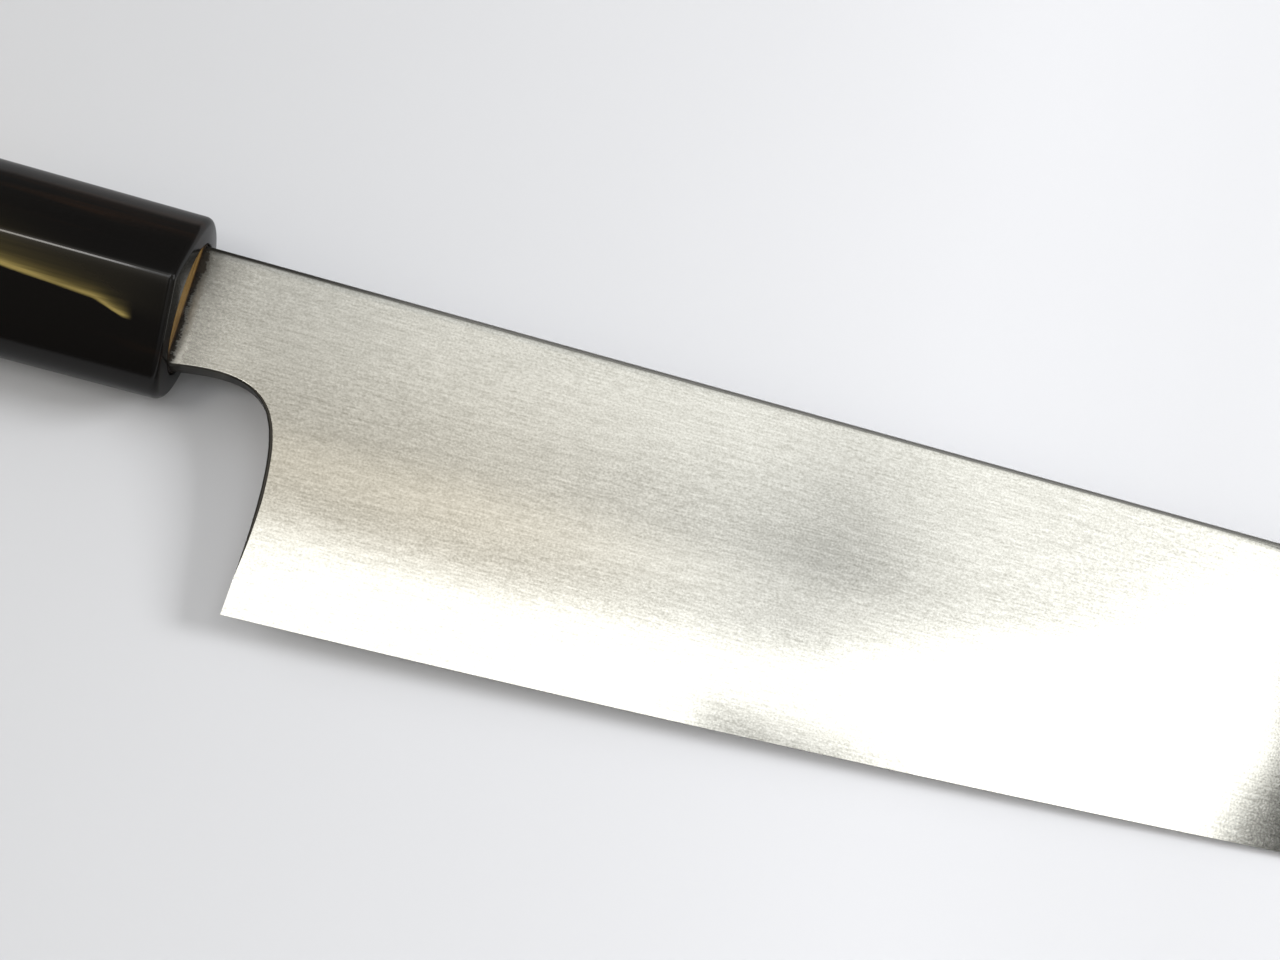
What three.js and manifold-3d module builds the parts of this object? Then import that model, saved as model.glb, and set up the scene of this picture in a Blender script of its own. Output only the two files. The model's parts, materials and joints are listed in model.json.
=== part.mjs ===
// A gyuto with a wa handle: a laminated, convex-ground blade whose hidden tang is burnt into
// a wooden handle of D section, with a horn ferrule and a resin seal at the mouth.
// Millimetres. The knife lies on its left side: +X points to the tip, +Y to the spine and +Z
// out of the right-hand face. While it is drawn, x = 0 is the front face of the ferrule,
// y = 0 the handle's centre line and z = 0 the middle of the blade's thickness.
import * as THREE from 'three';
import { mergeVertices } from 'three/addons/utils/BufferGeometryUtils.js';
import Module from 'manifold-3d';

const wasm = await Module();
wasm.setup();

// Blade outline
const edgeLength = 240; // heel to tip, along the handle's axis
const heelHeight = 46.3; // spine to heel corner
const heelSetback = 15.65; // ferrule to heel corner
const spineRise = 8.45; // spine above the handle's centre line
const spineStraight = 152; // ferrule to where the spine starts to fall
const spineLead = 0.48; // pull of the falling spine forwards, as a share of its run to the tip
const spineTrail = 0.19; // pull of its end back from the tip, as a share of the same run
const tipDrop = 27.5; // tip below the line of the spine
const tipSpineSlope = 0.56; // fall of the spine as it reaches the tip
const tipEdgeSlope = 0.4; // rise of the edge as it reaches the tip
const edgeFlat = 142; // nearly straight stretch of the edge, from the heel
const edgeFlatRise = 5.05; // how far the edge has risen at its end
const edgeHeelSlope = 0.0175; // rise of the edge at the heel
const bellyLead = 0.46; // pull of the rising edge forwards, as a share of its run to the tip
const bellyTrail = 0.26; // pull of its end back from the tip, as a share of the same run

// Neck and choil, the hollow between the neck and the heel
const neckHeight = 16.95; // where the neck leaves the ferrule
const neckArch = 2.4; // pull of the underside's arch towards the spine
const neckReach = 11.5; // pull of that arch towards the tip
const choilThroat = 28.8; // spine to the deepest point of the choil
const choilHook = 10.5; // pull of the choil wall up into the neck
const choilUndercut = 0.27; // how far the choil lies in front of the heel corner

// Blade thickness
const neckThickness = 4.2; // spine at the ferrule
const tipThickness = 1.1; // spine carried on to the tip
const flatTaper = 0.012; // thinning of each flat per millimetre below the spine
const flatShare = 0.42; // upper part of the height that is ground flat
const edgeThickness = 0.12;
const bevelFullness = 2; // exponent of the convex bevel
const spineEase = 0.5; // rounding of the spine's corners
const easeLimit = 0.4; // most that the rounding takes of a thin or low spine
const coreShare = 0.36; // core layer as a share of the flat-to-flat thickness
const weldLine = 0.02; // parting between the core and each cladding

// Tang
const tangLength = 95; // behind the ferrule's front face
const tangShoulder = 14; // length over which the neck narrows to the tang
const tangRootHeight = 12;
const tangTipHeight = 7;
const tangTipThickness = 3;

// Handle, with the ferrule as its front stretch
const handleLength = 140;
const ferruleLength = 32;
const frontHeight = 25.5;
const frontRidge = 11.3; // blade's middle plane to the ridge on the right side
const frontBack = 10.4; // blade's middle plane to the round left side
const buttHeight = 27;
const buttRidge = 12;
const buttBack = 11;
const flankSlope = 0.577; // fall of each flank away from the ridge
const flankReach = 0.51; // pull of each flank out from the ridge, as a share of half the height
const flankShoulder = 0.36; // pull of the upright side towards the ridge, as a share of the ridge
const ferruleRim = 1; // rounding of the ferrule's front edge
const buttRim = 2.5; // rounding of the butt

// Mouth of the handle
const resinCheek = 1.5; // resin beside the neck
const resinCorner = 1.4; // rounding of the resin's corners
const resinDepth = 12;
const resinSink = 0.3; // resin surface below the end of the tenon
const tenonCheek = 3.2; // wood beside the resin
const tenonCap = 0.15; // tenon's oval past the corners of the neck
const fitGap = 0.2; // tenon to ferrule, resin to wood, steel to resin
const burnGap = 0.3; // tang to its burnt slot

const overcut = 1; // how far a cutter runs past what it cuts

// Fineness of the facets
const bevelSteps = 8;
const bladeSteps = 24;
const curveSteps = 14;
const rimSteps = 4;

const steel = { metalness: 1, roughness: 0.38 };
const coreSteel = new THREE.MeshStandardMaterial({ color: 0xb9b7b0, ...steel });
const softSteelRight = new THREE.MeshStandardMaterial({ color: 0xaaa69b, ...steel });
const softSteelLeft = new THREE.MeshStandardMaterial({ color: 0xaaa69b, ...steel });
const horn = new THREE.MeshStandardMaterial({ color: 0x15110e, roughness: 0.16 });
const magnolia = new THREE.MeshStandardMaterial({ color: 0xc9a46c, roughness: 0.6 });
const resin = new THREE.MeshStandardMaterial({ color: 0x2c2118, roughness: 0.45 });

// Places worked out from the sizes
const heel = new THREE.Vector2(heelSetback, spineRise - heelHeight);
const tip = new THREE.Vector2(heelSetback + edgeLength, spineRise - tipDrop);
const neckUnder = spineRise - neckHeight;
const neckMiddle = spineRise - neckHeight / 2;
const slotThickness = neckThickness + 2 * resinCheek;
const tenonThickness = slotThickness + 2 * tenonCheek;
const tenonHeight = (neckHeight + 2 * tenonCap) / Math.sqrt(1 - (neckThickness / tenonThickness) ** 2);

const mix = THREE.MathUtils.lerp;

// Curves of the blade's side view
function spineCurve() {
  const fall = tip.x - spineStraight;
  const start = new THREE.Vector2(spineStraight, spineRise);
  const lead = new THREE.Vector2(spineStraight + fall * spineLead, spineRise);
  const trail = fall * spineTrail;
  const arrive = new THREE.Vector2(tip.x - trail, tip.y + trail * tipSpineSlope);
  return new THREE.CubicBezierCurve(start, lead, arrive, tip);
}

function edgeCurves() {
  const half = edgeFlat / 2;
  const belly = new THREE.Vector2(heel.x + edgeFlat, heel.y + edgeFlatRise);
  const knee = new THREE.Vector2(heel.x + half, heel.y + half * edgeHeelSlope);
  const bellySlope = (belly.y - knee.y) / half;
  const lead = (tip.x - belly.x) * bellyLead;
  const trail = (tip.x - belly.x) * bellyTrail;
  const leave = new THREE.Vector2(belly.x + lead, belly.y + lead * bellySlope);
  const arrive = new THREE.Vector2(tip.x - trail, tip.y - trail * tipEdgeSlope);
  return {
    flat: new THREE.QuadraticBezierCurve(heel, knee, belly),
    belly: new THREE.CubicBezierCurve(belly, leave, arrive, tip),
  };
}

const spine = spineCurve();
const edge = edgeCurves();

// Height of a curve that runs steadily towards the tip, at a distance x from the ferrule
function heightAt(curve, x) {
  let low = 0;
  let high = 1;
  for (let halving = 0; halving < 40; halving += 1) {
    const middle = (low + high) / 2;
    if (curve.getPoint(middle).x < x) low = middle;
    else high = middle;
  }
  return curve.getPoint(low).y;
}

function spineAt(x) {
  return x <= spineStraight ? spineRise : heightAt(spine, x);
}

function edgeAt(x) {
  if (x <= heel.x) return heel.y;
  return x <= heel.x + edgeFlat ? heightAt(edge.flat, x) : heightAt(edge.belly, x);
}

// Side view of the whole forging, from the tang's end round by the spine, tip, edge and choil
function bladeOutline() {
  const outline = new THREE.Shape();
  const tangEnd = -tangLength;
  const round = tangTipHeight / 2;
  const throat = new THREE.Vector2(heel.x + choilUndercut, spineRise - choilThroat);
  outline.moveTo(tangEnd + round, -round);
  outline.absarc(tangEnd + round, 0, round, -Math.PI / 2, Math.PI / 2, true);
  outline.lineTo(-tangShoulder, tangRootHeight / 2);
  outline.lineTo(0, spineRise);
  outline.lineTo(spineStraight, spineRise);
  outline.bezierCurveTo(spine.v1.x, spine.v1.y, spine.v2.x, spine.v2.y, tip.x, tip.y);
  outline.bezierCurveTo(
    edge.belly.v2.x, edge.belly.v2.y, edge.belly.v1.x, edge.belly.v1.y, edge.belly.v0.x, edge.belly.v0.y);
  outline.quadraticCurveTo(edge.flat.v1.x, edge.flat.v1.y, heel.x, heel.y);
  outline.quadraticCurveTo(throat.x, (throat.y + heel.y) / 2, throat.x, throat.y);
  outline.bezierCurveTo(throat.x, throat.y + choilHook, neckReach, neckUnder + neckArch, 0, neckUnder);
  outline.lineTo(-tangShoulder, -tangRootHeight / 2);
  return outline;
}

// Half of the spine's thickness: it thins from the neck towards the tip and towards the tang's end
function spineHalf(x) {
  const thickness = x >= 0
    ? mix(neckThickness, tipThickness, x / tip.x)
    : mix(neckThickness, tangTipThickness, -x / tangLength);
  return thickness / 2;
}

// Each side is a true flat, in front of the ferrule and on the tang: a plane that also thins
// towards the edge
function flatHalf(x, y) {
  return spineHalf(x) - flatTaper * (spineRise - y);
}

// The core's sides keep to one plane each, from the tang's end to the tip
function coreHalf(x, y) {
  const thickness = mix(neckThickness, tipThickness, x / tip.x) / 2 - flatTaper * (spineRise - y);
  return coreShare * thickness;
}

// Half of the blade's cross-section at x, from above the spine to below the edge: an eased corner,
// the flat, then a convex bevel that leaves the flat tangentially
function halfSection(x) {
  const top = spineAt(x);
  const low = edgeAt(x) - edgeThickness;
  const shoulder = mix(top, low, flatShare);
  const crown = flatHalf(x, top);
  const ease = Math.min(spineEase, crown * easeLimit, (top - shoulder) * easeLimit);
  const nick = ease * (1 - Math.SQRT1_2);
  const above = ease * easeLimit;
  const points = [
    [top + above, crown - ease - above * (ease / nick - 1)],
    [top - nick, crown - nick],
    [top - ease, flatHalf(x, top - ease)],
  ];
  for (let step = 0; step <= bevelSteps; step += 1) {
    const rise = 1 - step / bevelSteps;
    const y = mix(low, shoulder, rise);
    const full = 1 - (1 - rise) ** bevelFullness;
    points.push([y, mix(edgeThickness / 2, flatHalf(x, y), full)]);
  }
  points.push([low - overcut, edgeThickness / 2]);
  return points;
}

function bladeRing(x) {
  const right = halfSection(x);
  const left = right.map(([y, z]) => [y, -z]).reverse();
  return [...right, ...left];
}

// Closed skin through rings of [y, z] points, each at its own x
function loft(stations) {
  const size = stations[0].ring.length;
  const positions = [];
  const index = [];
  for (const { x, ring } of stations) {
    for (const [y, z] of ring) positions.push(x, y, z);
  }
  for (let row = 0; row + 1 < stations.length; row += 1) {
    for (let side = 0; side < size; side += 1) {
      const a = row * size + side;
      const b = row * size + ((side + 1) % size);
      index.push(a, b, b + size, a, b + size, a + size);
    }
  }
  const last = (stations.length - 1) * size;
  const flat = (ring) => ring.map(([y, z]) => new THREE.Vector2(y, z));
  for (const [a, b, c] of THREE.ShapeUtils.triangulateShape(flat(stations[0].ring), [])) {
    index.push(c, b, a);
  }
  for (const [a, b, c] of THREE.ShapeUtils.triangulateShape(flat(stations.at(-1).ring), [])) {
    index.push(last + a, last + b, last + c);
  }
  const geometry = new THREE.BufferGeometry();
  geometry.setAttribute('position', new THREE.Float32BufferAttribute(positions, 3));
  geometry.setIndex(index);
  return geometry;
}

function solid(geometry) {
  const bare = geometry.clone();
  bare.deleteAttribute('normal');
  bare.deleteAttribute('uv');
  const merged = mergeVertices(bare, 1e-4);
  return new wasm.Manifold(new wasm.Mesh({
    numProp: 3,
    vertProperties: new Float32Array(merged.attributes.position.array),
    triVerts: new Uint32Array(merged.index.array),
  }));
}

function piece(name, body, material) {
  const { vertProperties, triVerts } = body.getMesh();
  const geometry = new THREE.BufferGeometry();
  geometry.setAttribute('position', new THREE.BufferAttribute(vertProperties, 3));
  geometry.setIndex(new THREE.BufferAttribute(triVerts, 1));
  geometry.computeVertexNormals();
  const mesh = new THREE.Mesh(geometry, material);
  mesh.name = name;
  return mesh;
}

// The forged blade before it is parted into layers
function forging() {
  const depth = 2 * neckThickness;
  const plate = new THREE.ExtrudeGeometry(bladeOutline(), {
    depth, bevelEnabled: false, curveSegments: bladeSteps,
  });
  plate.translate(0, 0, -depth / 2);
  const behind = -tangLength - overcut;
  const stations = [{ x: behind, ring: bladeRing(behind) }];
  for (let step = 0; step <= bladeSteps; step += 1) {
    const x = tip.x * Math.sin((Math.PI / 2) * (step / bladeSteps));
    stations.push({ x, ring: bladeRing(x) });
  }
  stations.push({ x: tip.x + overcut, ring: bladeRing(tip.x) });
  return solid(plate).intersect(solid(loft(stations)));
}

// A slab that takes in the whole blade, between two surfaces given by their height at x, y
function slab(under, over) {
  const block = new THREE.BoxGeometry(1, 1, 1);
  const place = block.attributes.position;
  for (let corner = 0; corner < place.count; corner += 1) {
    const x = place.getX(corner) < 0 ? -tangLength - overcut : tip.x + overcut;
    const y = place.getY(corner) < 0 ? heel.y - overcut : spineRise + overcut;
    const z = place.getZ(corner) < 0 ? under(x, y) : over(x, y);
    place.setXYZ(corner, x, y, z);
  }
  return solid(block);
}

function bladeLayers() {
  const blade = forging();
  const inner = (x, y) => coreHalf(x, y) - weldLine / 2;
  const outer = (x, y) => coreHalf(x, y) + weldLine / 2;
  const clear = () => 2 * neckThickness;
  const core = slab((x, y) => -inner(x, y), inner);
  const right = slab(outer, clear);
  const left = slab(() => -clear(), (x, y) => -outer(x, y));
  return [
    piece('blade_core', blade.intersect(core), coreSteel),
    piece('cladding_right', blade.intersect(right), softSteelRight),
    piece('cladding_left', blade.intersect(left), softSteelLeft),
  ];
}

// D section of the handle: two full flanks that meet in a ridge on the right, a half ellipse on the left
function handleRing(x, inset) {
  const along = 1 + x / handleLength;
  const side = mix(buttHeight, frontHeight, along) / 2 - inset;
  const ridge = mix(buttRidge, frontRidge, along) - inset;
  const back = mix(buttBack, frontBack, along) - inset;
  const shoulder = ridge * flankShoulder;
  const reach = side * flankReach;
  const flank = ridge - reach * flankSlope;
  const section = new THREE.Shape();
  section.moveTo(side, 0);
  section.bezierCurveTo(side, shoulder, reach, flank, 0, ridge);
  section.bezierCurveTo(-reach, flank, -side, shoulder, -side, 0);
  section.absellipse(0, 0, side, back, Math.PI, 2 * Math.PI, false);
  return section.getPoints(curveSteps).slice(0, -1).map((point) => [point.x, point.y]);
}

// Rings that round an end over, from the full section to the inset face
function rimStations(end, inward, radius) {
  const stations = [];
  for (let step = 0; step <= rimSteps; step += 1) {
    const turn = (Math.PI / 2) * (step / rimSteps);
    const x = end + inward * radius * (1 - Math.sin(turn));
    stations.push({ x, ring: handleRing(x, radius * (1 - Math.cos(turn))) });
  }
  return stations;
}

function ovalRing(height, thickness) {
  const oval = new THREE.Shape();
  oval.absellipse(neckMiddle, 0, height / 2, thickness / 2, 0, 2 * Math.PI, false);
  return oval.getPoints(2 * curveSteps).slice(0, -1).map((point) => [point.x, point.y]);
}

function bar(ring, from, to) {
  return solid(loft([{ x: from, ring }, { x: to, ring }]));
}

function boxRing(low, high, thickness) {
  const wide = thickness / 2;
  return [[high, -wide], [high, wide], [low, wide], [low, -wide]];
}

// Outline of the resin: as high as the neck, with rounded corners
function resinRing() {
  const tall = neckHeight / 2 - resinCorner;
  const wide = slotThickness / 2 - fitGap - resinCorner;
  const outline = new THREE.Shape();
  outline.absarc(neckMiddle + tall, wide, resinCorner, 0, Math.PI / 2, false);
  outline.absarc(neckMiddle - tall, wide, resinCorner, Math.PI / 2, Math.PI, false);
  outline.absarc(neckMiddle - tall, -wide, resinCorner, Math.PI, 1.5 * Math.PI, false);
  outline.absarc(neckMiddle + tall, -wide, resinCorner, 1.5 * Math.PI, 2 * Math.PI, false);
  return outline.getPoints(rimSteps).map((point) => [point.x, point.y]);
}

// Room that the tang takes up, grown by a gap on every side
function tangRoom(gap) {
  const room = (low, high, thickness) => boxRing(low - gap, high + gap, thickness + 2 * gap);
  const shoulderThickness = mix(neckThickness, tangTipThickness, tangShoulder / tangLength);
  const root = tangRootHeight / 2;
  const end = tangTipHeight / 2;
  return solid(loft([
    { x: -tangLength - gap, ring: room(-end, end, tangTipThickness) },
    { x: -tangShoulder - gap, ring: room(-root, root, shoulderThickness) },
    { x: 0, ring: room(neckUnder, spineRise, neckThickness) },
    { x: overcut, ring: room(neckUnder, spineRise, neckThickness) },
  ]));
}

function ferrule() {
  const body = solid(loft([
    { x: -ferruleLength, ring: handleRing(-ferruleLength, 0) },
    ...rimStations(0, -1, ferruleRim),
  ]));
  const bore = ovalRing(tenonHeight + 2 * fitGap, tenonThickness + 2 * fitGap);
  return piece('ferrule', body.subtract(bar(bore, -ferruleLength - overcut, overcut)), horn);
}

// The tenon fills the ferrule, and an open slot in its end takes the neck and the resin
function handle() {
  const grip = solid(loft([
    ...rimStations(-handleLength, 1, buttRim).reverse(),
    { x: -ferruleLength, ring: handleRing(-ferruleLength, 0) },
  ]));
  const tenon = bar(ovalRing(tenonHeight, tenonThickness), -ferruleLength - overcut, 0);
  const tall = tenonHeight / 2 + overcut;
  const slot = bar(boxRing(neckMiddle - tall, neckMiddle + tall, slotThickness), -resinDepth, overcut);
  const body = grip.add(tenon).subtract(slot).subtract(tangRoom(burnGap));
  return piece('handle', body, magnolia);
}

function tangResin() {
  const fill = bar(resinRing(), -resinDepth + fitGap, -resinSink);
  return piece('tang_resin', fill.subtract(tangRoom(fitGap)), resin);
}

const knife = new THREE.Group();
knife.add(...bladeLayers(), ferrule(), handle(), tangResin());

// The part's origin is the middle of its box, on the surface that it lies on
const box = new THREE.Box3().setFromObject(knife);
const middle = box.getCenter(new THREE.Vector3());
knife.position.set(-middle.x, -middle.y, -box.min.z);

export default knife;
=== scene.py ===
import json
import math

import bmesh
import bpy
import numpy as np
from bpy.props import FloatProperty, FloatVectorProperty, PointerProperty
from mathutils import Matrix, Vector


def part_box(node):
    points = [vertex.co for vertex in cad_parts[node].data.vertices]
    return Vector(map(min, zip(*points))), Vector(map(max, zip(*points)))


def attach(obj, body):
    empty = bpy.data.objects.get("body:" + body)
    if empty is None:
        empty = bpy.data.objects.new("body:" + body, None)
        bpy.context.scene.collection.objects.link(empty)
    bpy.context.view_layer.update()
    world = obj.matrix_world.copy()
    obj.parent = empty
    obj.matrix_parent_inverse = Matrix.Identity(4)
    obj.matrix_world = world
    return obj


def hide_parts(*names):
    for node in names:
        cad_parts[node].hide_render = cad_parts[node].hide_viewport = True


bl_info = {
    "name": "Gyuto Knife",
    "version": (1, 0, 0),
    "blender": (4, 5, 0),
    "location": "View3D > Sidebar > Knife",
    "description": "Dresses the packed frame of a gyuto with a D-section wa handle",
    "category": "Add Mesh",
}

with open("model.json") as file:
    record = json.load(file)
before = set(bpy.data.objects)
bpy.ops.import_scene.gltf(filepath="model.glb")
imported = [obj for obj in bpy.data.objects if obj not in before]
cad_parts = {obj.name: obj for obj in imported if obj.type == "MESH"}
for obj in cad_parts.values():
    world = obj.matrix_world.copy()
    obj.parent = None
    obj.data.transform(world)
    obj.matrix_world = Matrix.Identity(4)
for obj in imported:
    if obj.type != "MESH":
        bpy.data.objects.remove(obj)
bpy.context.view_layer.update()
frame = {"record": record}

MM = 0.001
BUTT = Vector(next(m["pos_m"] for m in frame["record"]["mounts"] if m["name"] == "butt_face"))
CORE_LOW, CORE_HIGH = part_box("blade_core")
FERRULE_LOW, FERRULE_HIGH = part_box("ferrule")

# The knife is drawn from the point where the handle's centre line leaves the ferrule
ORIGIN = Vector((FERRULE_HIGH.x, BUTT.y, BUTT.z))


def length(name, description, metres):
    return FloatProperty(name=name, description=description, default=metres, unit="LENGTH", precision=5)


def ratio(name, description, share):
    return FloatProperty(name=name, description=description, default=share, precision=4)


def colour(name, description, shade):
    return FloatVectorProperty(
        name=name, description=description, default=shade, size=3, subtype="COLOR", min=0.0, max=1.0)


def amount(name, description, value):
    return FloatProperty(name=name, description=description, default=value)


def angle(name, description, degrees):
    return FloatProperty(name=name, description=description, default=math.radians(degrees), subtype="ANGLE")


def offset(name, description, place):
    return FloatVectorProperty(
        name=name, description=description, default=place, size=3, subtype="TRANSLATION", unit="LENGTH")


def direction(name, description, way):
    return FloatVectorProperty(name=name, description=description, default=way, size=3, subtype="DIRECTION")


class BladeSizes(bpy.types.PropertyGroup):
    """Sizes of the blade and its tang"""

    spine_rise: length("Spine rise", "Spine above the handle's centre line", CORE_HIGH.y - ORIGIN.y)
    heel_drop: length("Heel drop", "Heel corner below the handle's centre line", ORIGIN.y - CORE_LOW.y)
    tip_reach: length("Tip reach", "Ferrule to tip", CORE_HIGH.x - ORIGIN.x)
    tang_length: length("Tang length", "Tang behind the ferrule's front face", ORIGIN.x - CORE_LOW.x)
    heel_setback: length("Heel setback", "Ferrule to heel corner", 15.65 * MM)
    tip_drop: length("Tip drop", "Tip below the line of the spine", 27.5 * MM)
    spine_straight: length("Straight spine", "Ferrule to where the spine starts to fall", 152 * MM)
    spine_lead: ratio("Spine lead", "Pull of the falling spine forwards, as a share of its run", 0.48)
    spine_trail: ratio("Spine trail", "Pull of its end back from the tip, as a share of its run", 0.19)
    edge_flat: length("Flat of the edge", "Nearly straight stretch of the edge", 142 * MM)
    edge_flat_rise: length("Rise of the flat", "How far the edge has risen there", 5.05 * MM)
    edge_heel_slope: ratio("Heel slope", "Rise of the edge at the heel", 0.0175)
    belly_lead: ratio("Belly lead", "Pull of the rising edge forwards, as a share of its run", 0.46)
    belly_trail: ratio("Belly trail", "Pull of its end back from the tip, as a share of its run", 0.26)
    tip_spine_slope: ratio("Spine slope at the tip", "Fall of the spine as it reaches the tip", 0.56)
    tip_edge_slope: ratio("Edge slope at the tip", "Rise of the edge as it reaches the tip", 0.4)
    neck_height: length("Neck height", "Neck where it leaves the ferrule", 16.95 * MM)
    neck_arch: length("Neck arch", "Pull of the underside towards the spine", 2.45 * MM)
    neck_reach: length("Neck reach", "Pull of that arch towards the tip", 12.95 * MM)
    choil_throat: length("Choil throat", "Spine to the deepest point of the choil", 34.3 * MM)
    choil_hook: length("Choil hook", "Pull of the choil wall up into the neck", 16.4 * MM)
    choil_undercut: length("Choil undercut", "Choil in front of the heel corner", 0.44 * MM)
    neck_ease: length("Neck rounding", "Rounding of the neck's lower corners", 0.28 * MM)
    choil_ease: length("Choil rounding", "Rounding of the choil wall's corners", 0.6 * MM)
    neck_thickness: length("Neck thickness", "Spine at the ferrule", 4.2 * MM)
    tip_thickness: length("Tip thickness", "Spine carried on to the tip", 1.1 * MM)
    tang_thickness: length("Tang thickness", "End of the tang", 3 * MM)
    tang_shoulder: length("Tang shoulder", "Where the neck has narrowed to the tang", 14 * MM)
    tang_root_height: length("Tang root", "Height of the tang at its shoulder", 12 * MM)
    tang_tip_height: length("Tang end", "Height of the tang at its end", 7 * MM)
    flat_taper: ratio("Flat taper", "Thinning of each flat per unit below the spine", 0.012)
    flat_share: ratio("Flat share", "Upper part of the height that is flat", 0.42)
    edge_thickness: length("Edge thickness", "Thickness behind the edge", 0.12 * MM)
    spine_ease: length("Spine rounding", "Depth of the rounding of the spine's corners", 0.4 * MM)
    spine_soft: length("Spine softening", "Height over which that rounding runs into the flat", 1.4 * MM)
    core_share: ratio("Core share", "Core layer as a share of the thickness", 0.36)
    weld_line: length("Weld line", "Parting between the core and a cladding", 0.0002 * MM)


class HandleSizes(bpy.types.PropertyGroup):
    """Sizes of the handle, its ferrule and its mouth"""

    handle_length: length("Handle length", "Ferrule front to butt", ORIGIN.x - BUTT.x)
    ferrule_length: length("Ferrule length", "Horn stretch of the handle", FERRULE_HIGH.x - FERRULE_LOW.x)
    front_height: length("Front height", "Height of the section at the front", 25.5 * MM)
    front_ridge: length("Front ridge", "Middle plane to the ridge at the front", 11.3 * MM)
    front_back: length("Front back", "Middle plane to the round side at the front", 10.4 * MM)
    butt_height: length("Butt height", "Height of the section at the butt", 26.99 * MM)
    butt_ridge: length("Butt ridge", "Middle plane to the ridge at the butt", 12 * MM)
    butt_back: length("Butt back", "Middle plane to the round side at the butt", 10.99 * MM)
    flank_slope: ratio("Flank slope", "Fall of each flank away from the ridge", 0.577)
    flank_reach: ratio(
        "Flank reach", "Pull of each flank out from the ridge, as a share of half the height", 0.51)
    flank_shoulder: ratio(
        "Flank shoulder", "Pull of the upright side towards the ridge, as a share of it", 0.36)
    ridge_ease: length("Ridge rounding", "Softening of the ridge", 0.5 * MM)
    ridge_lean: length("Ridge lean", "Ridge above the handle's centre line", 0.58 * MM)
    ferrule_rim: length("Ferrule rim", "Rounding of the ferrule's front edge", 1.1 * MM)
    ferrule_dome: length("Ferrule dome", "Rise of the ferrule's front face to the mouth", 0.3 * MM)
    butt_rim: length("Butt rim", "Rounding of the butt", 2.5 * MM)
    seam_ease: length("Seam rounding", "Rounding where horn and wood meet", 0.18 * MM)
    tenon_height: length("Tenon height", "Oval tenon in the ferrule", 18.14 * MM)
    tenon_thickness: length("Tenon thickness", "Oval tenon in the ferrule", 13.6 * MM)
    slot_thickness: length("Slot thickness", "Slot in the end of the tenon", 7.2 * MM)
    slot_depth: length("Slot depth", "Slot in the end of the tenon", 12 * MM)
    slot_wall: length("Slot wall", "Wood left over and under the slot", 0.03 * MM)
    glue_gap: length("Glue gap", "Play between tenon and ferrule", 0.05 * MM)
    burn_gap: length("Burnt gap", "Play between the tang and the wood", 0.3 * MM)
    resin_sink: length("Resin sink", "Resin below the end of the tenon", 0.3 * MM)


class FinishColours(bpy.types.PropertyGroup):
    """Colours of the finishes"""

    steel_light: colour("Steel, light strokes", "Crests of the brushed strokes", (0.82, 0.805, 0.734))
    steel_dark: colour("Steel, dark strokes", "Hollows of the brushed strokes", (0.46, 0.446, 0.391))
    # Painted shade on the blade's narrow sides, by the way each faces: the underside and the spine near the
    # ferrule, the spine further on, and the choil wall
    steel_narrow_shade: colour("Steel, dull", "Underside of the neck", (0.12, 0.114, 0.10))
    steel_spine_shade: colour("Steel, spine", "Corners of the spine", (0.66, 0.645, 0.6))
    steel_choil_shade: colour("Steel, choil", "Wall of the choil", (0.036, 0.034, 0.03))
    # Painted shade on the blade beside the ferrule
    steel_ferrule_shade: colour("Steel, smoky", "Haze beside the ferrule", (0.05, 0.047, 0.04))
    scale_black: colour("Scale, black", "Dark residue beside the ferrule", (0.012, 0.011, 0.009))
    scale_brown: colour("Scale, brown", "Rusty flecks in the residue", (0.035, 0.028, 0.02))
    horn_black: colour("Horn, black", "Ground of the horn", (0.0045, 0.004, 0.0036))
    horn_brown: colour("Horn, brown", "Streaks in the horn", (0.016, 0.0085, 0.005))
    # Painted grey sheen under the horn's ridge
    horn_ridge_sheen: colour("Horn, glow", "Clearer horn between the vein and the ridge", (0.0135, 0.0118, 0.0085))
    # Painted warm reflection on the horn's lower flank, drawn as an amber vein
    horn_amber_reflection: colour("Horn, amber", "Light vein in the horn", (0.30, 0.232, 0.078))
    wood_pale: colour("Wood, pale", "Early wood of the magnolia", (0.56, 0.40, 0.20))
    wood_deep: colour("Wood, deep", "Late wood of the magnolia", (0.37, 0.235, 0.10))
    wood_pore: colour("Wood, pores", "Short dark pores", (0.17, 0.095, 0.038))
    # Painted shade on the end of the tenon in the mouth
    wood_mouth_shade: colour("Wood, mouth", "End of the tenon, darkened by use", (0.15, 0.084, 0.018))
    wood_stain: colour("Wood, stained", "Stained streaks in the end of the tenon", (0.05, 0.024, 0.007))
    # Darker at the top and bottom of the tenon's end
    wood_brim_dark: colour("Wood, sealed", "Top and bottom of the tenon, soaked with resin", (0.012, 0.008, 0.005))
    resin_black: colour("Resin, black", "Thick places of the resin", (0.008, 0.006, 0.005))
    resin_brown: colour("Resin, brown", "Set resin in the mouth", (0.028, 0.016, 0.008))
    # Painted light on the floor: lighter towards the tip, deeper beside the handle
    floor_pale_lit: colour("Floor, pale", "Pale floor beside the tip", (0.73, 0.741, 0.775))
    floor_pale_shaded: colour("Floor, deeper", "Pale floor beside the handle", (0.508, 0.515, 0.527))
    floor_mirrored: colour("Floor, mirrored", "Floor as the knife mirrors it", (0.03, 0.03, 0.03))


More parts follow.
